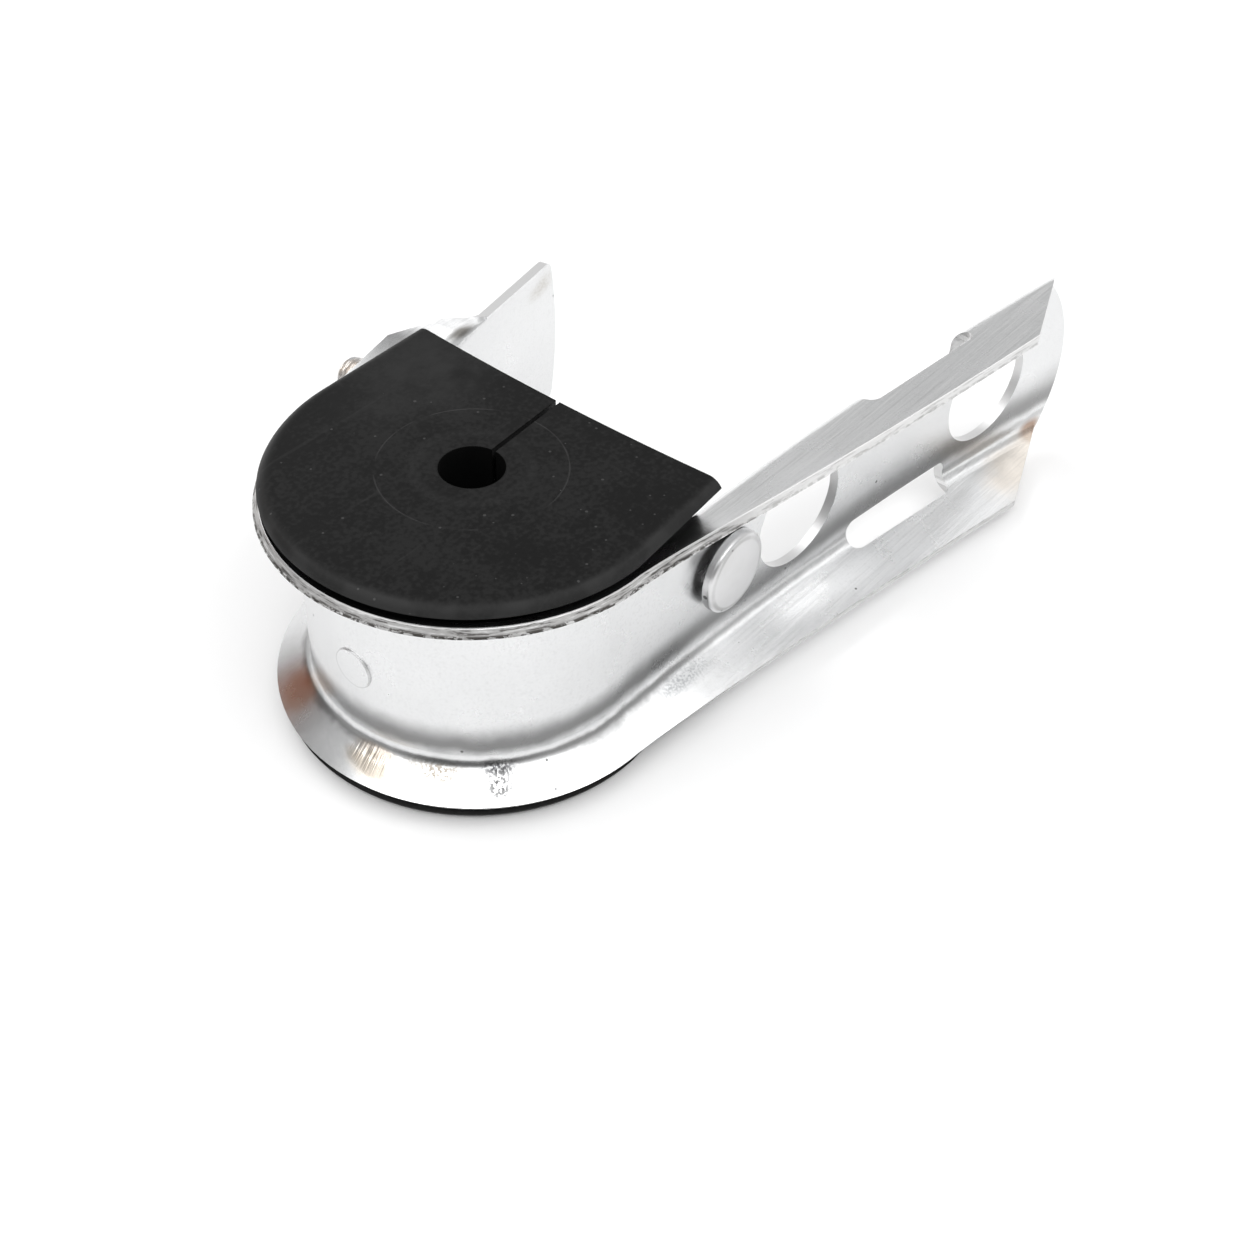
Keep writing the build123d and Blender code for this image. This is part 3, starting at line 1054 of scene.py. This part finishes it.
@dataclass
class RetainingBolt:
    """Low round-headed bolt whose end has a rolled thread."""

    seat: Triple = (24.2625, -25.0038, 19.2426)
    lean: float = 1.4
    diameter: float = 6.0
    length: float = 73.5
    head_diameter: float = 12.6
    head_height: float = 2.0
    head_crown: float = 0.25
    head_round: float = 0.75
    round_steps: int = 8
    crown_middle: tuple[float, float] = (0.5, 0.2)
    head_bevel: float = 0.25
    neck_diameter: float = 5.9
    neck_fillet: float = 0.3
    thread_length: float = 30.0
    thread_pitch: float = 1.0
    thread_depth: float = 0.5
    thread_flank: tuple[float, float] = (0.12, 0.88)
    run_in: float = 2.5
    end_bevel: float = 0.8
    crease: float = 0.7
    axis_reach: float = 1e-5
    segments: int = 64
    rings_per_pitch: int = 10
    finish: BoltPlate = field(default_factory=BoltPlate)

    def outline(self) -> list[tuple[float, float]]:
        """Draws the lathe profile of head and shank.

        Returns:
            Its points, each as radius and height in millimetres.
        """
        head, neck, top = self.head_diameter / 2, self.neck_diameter / 2, -self.head_height
        rim, crown = head - self.head_round, top + self.head_crown
        wide, high = self.crown_middle
        points = [(0.0, top), (head * wide, top + self.head_crown * high), (rim, crown)]
        for step in range(1, self.round_steps + 1):
            turn = math.radians(90.0 - step * 90.0 / self.round_steps)
            across, down = self.head_round * math.cos(turn), self.head_round * math.sin(turn)
            points.append((rim + across, crown + self.head_round - down))
        points += [(head, -self.head_bevel), (head - self.head_bevel, 0.0)]
        points += [(neck + self.neck_fillet, 0.0), (neck, self.neck_fillet)]
        return [*points, (neck, self.length - self.thread_length)]

    def lathe(self) -> bpy.types.Mesh:
        """Turns head and shank, standing along +Z.

        Returns:
            The mesh.
        """
        shape = bmesh.new()
        turns = [2 * math.pi * step / self.segments for step in range(self.segments)]
        rings = []
        for radius, height in self.outline():
            wide, high = radius * MM, height * MM
            ring = [(wide * math.cos(turn), wide * math.sin(turn), high) for turn in turns]
            rings.append([shape.verts.new(place) for place in (ring if radius else ring[:1])])
        for low, high in zip(rings, rings[1:]):
            for step in range(self.segments):
                after = (step + 1) % self.segments
                near = low if len(low) == 1 else [low[after], low[step]]
                shape.faces.new([high[step], high[after], *near])
        bmesh.ops.recalc_face_normals(shape, faces=shape.faces)
        mesh = bpy.data.meshes.new("bolt_blank")
        shape.to_mesh(mesh)
        shape.free()
        return mesh

    def thread_recipe(self, material: bpy.types.Material) -> Recipe:
        """Builds the tree that adds the rolled thread to the turned blank.

        Args:
            material: the bolt's material.

        Returns:
            The tree.
        """
        tree = Recipe("rolled_thread")
        pitch = tree.size_input("Pitch", self.thread_pitch * MM)
        depth = tree.size_input("Depth", self.thread_depth * MM)
        crest = tree.size_input("Crest radius", self.diameter / 2 * MM)
        length = tree.size_input("Thread length", self.thread_length * MM)
        start = tree.size_input("Thread start", (self.length - self.thread_length) * MM)
        bevel = tree.size_input("End bevel", self.end_bevel * MM)
        rows = round(self.thread_length / self.thread_pitch * self.rings_per_pitch)
        rod = tree.add(
            "GeometryNodeMeshCylinder",
            {"fill_type": "TRIANGLE_FAN"},
            {"Vertices": self.segments, "Side Segments": rows, "Radius": crest, "Depth": length},
        ).out("Mesh")
        place = tree.add("GeometryNodeInputPosition").out()
        split = tree.add("ShaderNodeSeparateXYZ", None, [place])
        x, y, z = (split.out(axis) for axis in "XYZ")
        turn = y.maths("ARCTAN2", x) / (2 * math.pi)
        height = z + length / 2.0
        climb = height / pitch
        phase = (climb - turn).maths("FRACT")
        tooth = ((phase - 0.5).size() * 2.0).ramp(*self.thread_flank)
        root = crest - depth * tooth * climb.ramp(0.0, self.run_in)
        radius = root.least(crest - bevel + (length - height))
        away = (x * x + y * y).root()
        beside = away.maths("GREATER_THAN", self.axis_reach)
        factor = radius / away.most(self.axis_reach) * beside + (1.0 - beside)
        moved = tree.add(
            "ShaderNodeCombineXYZ", None, [x * factor, y * factor, height + start]
        ).out()
        cut = tree.add("GeometryNodeSetPosition", None, {"Geometry": rod, "Position": moved}).out()
        joined = tree.add("GeometryNodeJoinGeometry")
        for part in (cut, tree.entry.out("Geometry")):
            tree.node_tree.links.new(part.socket, joined.node.inputs["Geometry"])
        tree.finish_with(tree.dressed(joined.out(), self.crease, material))
        return tree

    def build(self) -> bpy.types.Object:
        """Builds the finished bolt, in place of the CAD node.

        Returns:
            The bolt.
        """
        blank = bpy.data.objects.new("bolt_blank", self.lathe())
        bpy.context.scene.collection.objects.link(blank)
        self.thread_recipe(self.finish.material()).put_on(blank)
        bpy.context.view_layer.update()
        graph = bpy.context.evaluated_depsgraph_get()
        mesh = bpy.data.meshes.new_from_object(blank.evaluated_get(graph), depsgraph=graph)
        bpy.data.objects.remove(blank)
        lean = math.radians(self.lean)
        axis = Vector((-math.sin(lean), math.cos(lean), 0.0))
        turn = axis.to_track_quat("Z", "X").to_matrix().to_4x4()
        mesh.transform(Matrix.Translation(Vector(self.seat) * MM) @ turn)
        mesh.name = "threaded_bolt"
        bolt = bpy.data.objects.new("threaded_bolt", mesh)
        bpy.context.scene.collection.objects.link(bolt)
        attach(bolt, "root")
        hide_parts(Solid.BOLT.value)
        log.info("built %s with %d faces", bolt.name, len(mesh.polygons))
        return bolt


def heading(azimuth: float, elevation: float) -> Triple:
    """Returns the unit vector of a direction given in degrees."""
    turn, rise = math.radians(azimuth), math.radians(elevation)
    return (math.sin(turn) * math.cos(rise), math.cos(turn) * math.cos(rise), math.sin(rise))


@dataclass(frozen=True)
class Panel:
    """A far-off part of the room, as a soft round patch of one colour."""

    azimuth: float
    elevation: float
    half_angle: float
    fade: float
    colour: Colour

    def limits(self) -> tuple[float, float]:
        """Returns the cosines of the angles at which the panel ends and is full."""
        edges = (self.half_angle + self.fade, self.half_angle - self.fade)
        return tuple(math.cos(math.radians(angle)) for angle in edges)


@dataclass
class Studio:
    """White sweep, soft light and the camera at the photograph's angle."""

    azimuth: float = 51.84
    elevation: float = 42.97
    roll: float = 1.83
    distance: float = 243.8
    target: Triple = (5.18, -22.56, 20.0)
    lens: float = 52.34
    floor_half: float = 3.0
    wall: float = 0.67
    slope: float = 1.4
    ceiling: float = 4.4
    slope_rise: tuple[float, float] = (0.42, 0.66)
    ceiling_rise: tuple[float, float] = (0.71, 0.80)
    sensor: float = 36.0
    clip: tuple[float, float] = (0.01, 20.0)
    panels: tuple[Panel, ...] = (
        Panel(-125.0, 10.0, 34.0, 10.0, grey(0.28)),
        Panel(-17.0, 20.0, 18.0, 8.0, grey(0.20)),
        Panel(-43.0, 36.0, 11.0, 7.0, grey(0.42)),
        Panel(-10.0, 17.0, 9.0, 4.0, (0.26, 0.085, 0.035, 1.0)),
        Panel(112.0, 54.0, 11.0, 6.0, grey(0.95)),
        Panel(52.0, 51.0, 18.0, 8.0, grey(0.28)),
        Panel(0.0, 90.0, 28.0, 6.0, grey(0.90)),
    )

    def add_camera(self) -> None:
        """Adds the camera at the photograph's place."""
        turn, roll = math.radians(self.azimuth), math.radians(self.roll)
        ahead = Vector(heading(self.azimuth, -self.elevation))
        level = Vector((math.cos(turn), -math.sin(turn), 0.0))
        upright = level.cross(ahead)
        right = math.cos(roll) * level + math.sin(roll) * upright
        up = math.cos(roll) * upright - math.sin(roll) * level
        place = (Vector(self.target) - ahead * self.distance) * MM
        data = bpy.data.cameras.new("camera")
        data.lens = self.lens
        data.sensor_width = self.sensor
        data.clip_start, data.clip_end = self.clip
        camera = bpy.data.objects.new("camera", data)
        turned = Matrix((right, up, -ahead)).transposed().to_4x4()
        camera.matrix_world = Matrix.Translation(place) @ turned
        bpy.context.scene.collection.objects.link(camera)
        bpy.context.scene.camera = camera

    def add_floor(self) -> None:
        """Adds the white floor."""
        mesh = bpy.data.meshes.new("floor")
        half = self.floor_half
        corners = [(-half, -half, 0.0), (half, -half, 0.0), (half, half, 0.0), (-half, half, 0.0)]
        mesh.from_pydata(corners, [], [(0, 1, 2, 3)])
        mesh.materials.append(StudioFloor().material())
        floor = bpy.data.objects.new("floor", mesh)
        bpy.context.scene.collection.objects.link(floor)

    def add_world(self) -> None:
        """Adds the room: a pale wall, a brighter ceiling, and panels of light and shade."""
        world = bpy.data.worlds.new("room")
        world.use_nodes = True
        world.node_tree.nodes.clear()
        tree = Tree(world.node_tree)
        ray = tree.add("ShaderNodeTexCoord").out("Generated")
        height = tree.add("ShaderNodeSeparateXYZ", None, [ray]).out("Z")
        colour = tree.mix(height.ramp(*self.slope_rise), grey(self.wall), grey(self.slope))
        colour = tree.mix(height.ramp(*self.ceiling_rise), colour, grey(self.ceiling))
        for panel in self.panels:
            middle = heading(panel.azimuth, panel.elevation)
            aim = tree.add(
                "ShaderNodeVectorMath", {"operation": "DOT_PRODUCT"}, [ray, middle]
            ).out("Value")
            colour = tree.mix(aim.ramp(*panel.limits()), colour, panel.colour)
        shader = tree.add("ShaderNodeBackground", None, {"Color": colour, "Strength": 1.0})
        tree.add("ShaderNodeOutputWorld", None, [shader.out()])
        bpy.context.scene.world = world

    def build(self) -> None:
        """Builds the whole set."""
        self.add_camera()
        self.add_floor()
        self.add_world()
        bpy.context.scene.view_settings.view_transform = "Standard"
        log.info("studio ready")


def main() -> None:
    """Builds the studio, dresses the CAD nodes and adds the threaded bolt."""
    logging.basicConfig(level=logging.INFO, format="%(name)s: %(message)s")
    Studio().build()
    Skin(Solid.STRAP, Slot.STRAP, ZincPlate(), cut_finish=ShearedEdge()).dress()
    Skin(Solid.INSERT, Slot.RUBBER, MouldedRubber(), crease=40.0).dress()
    Skin(Solid.NUT, Slot.BOLT, BoltPlate("nut_plate")).dress()
    RetainingBolt().build()


if __name__ == "__main__":
    main()
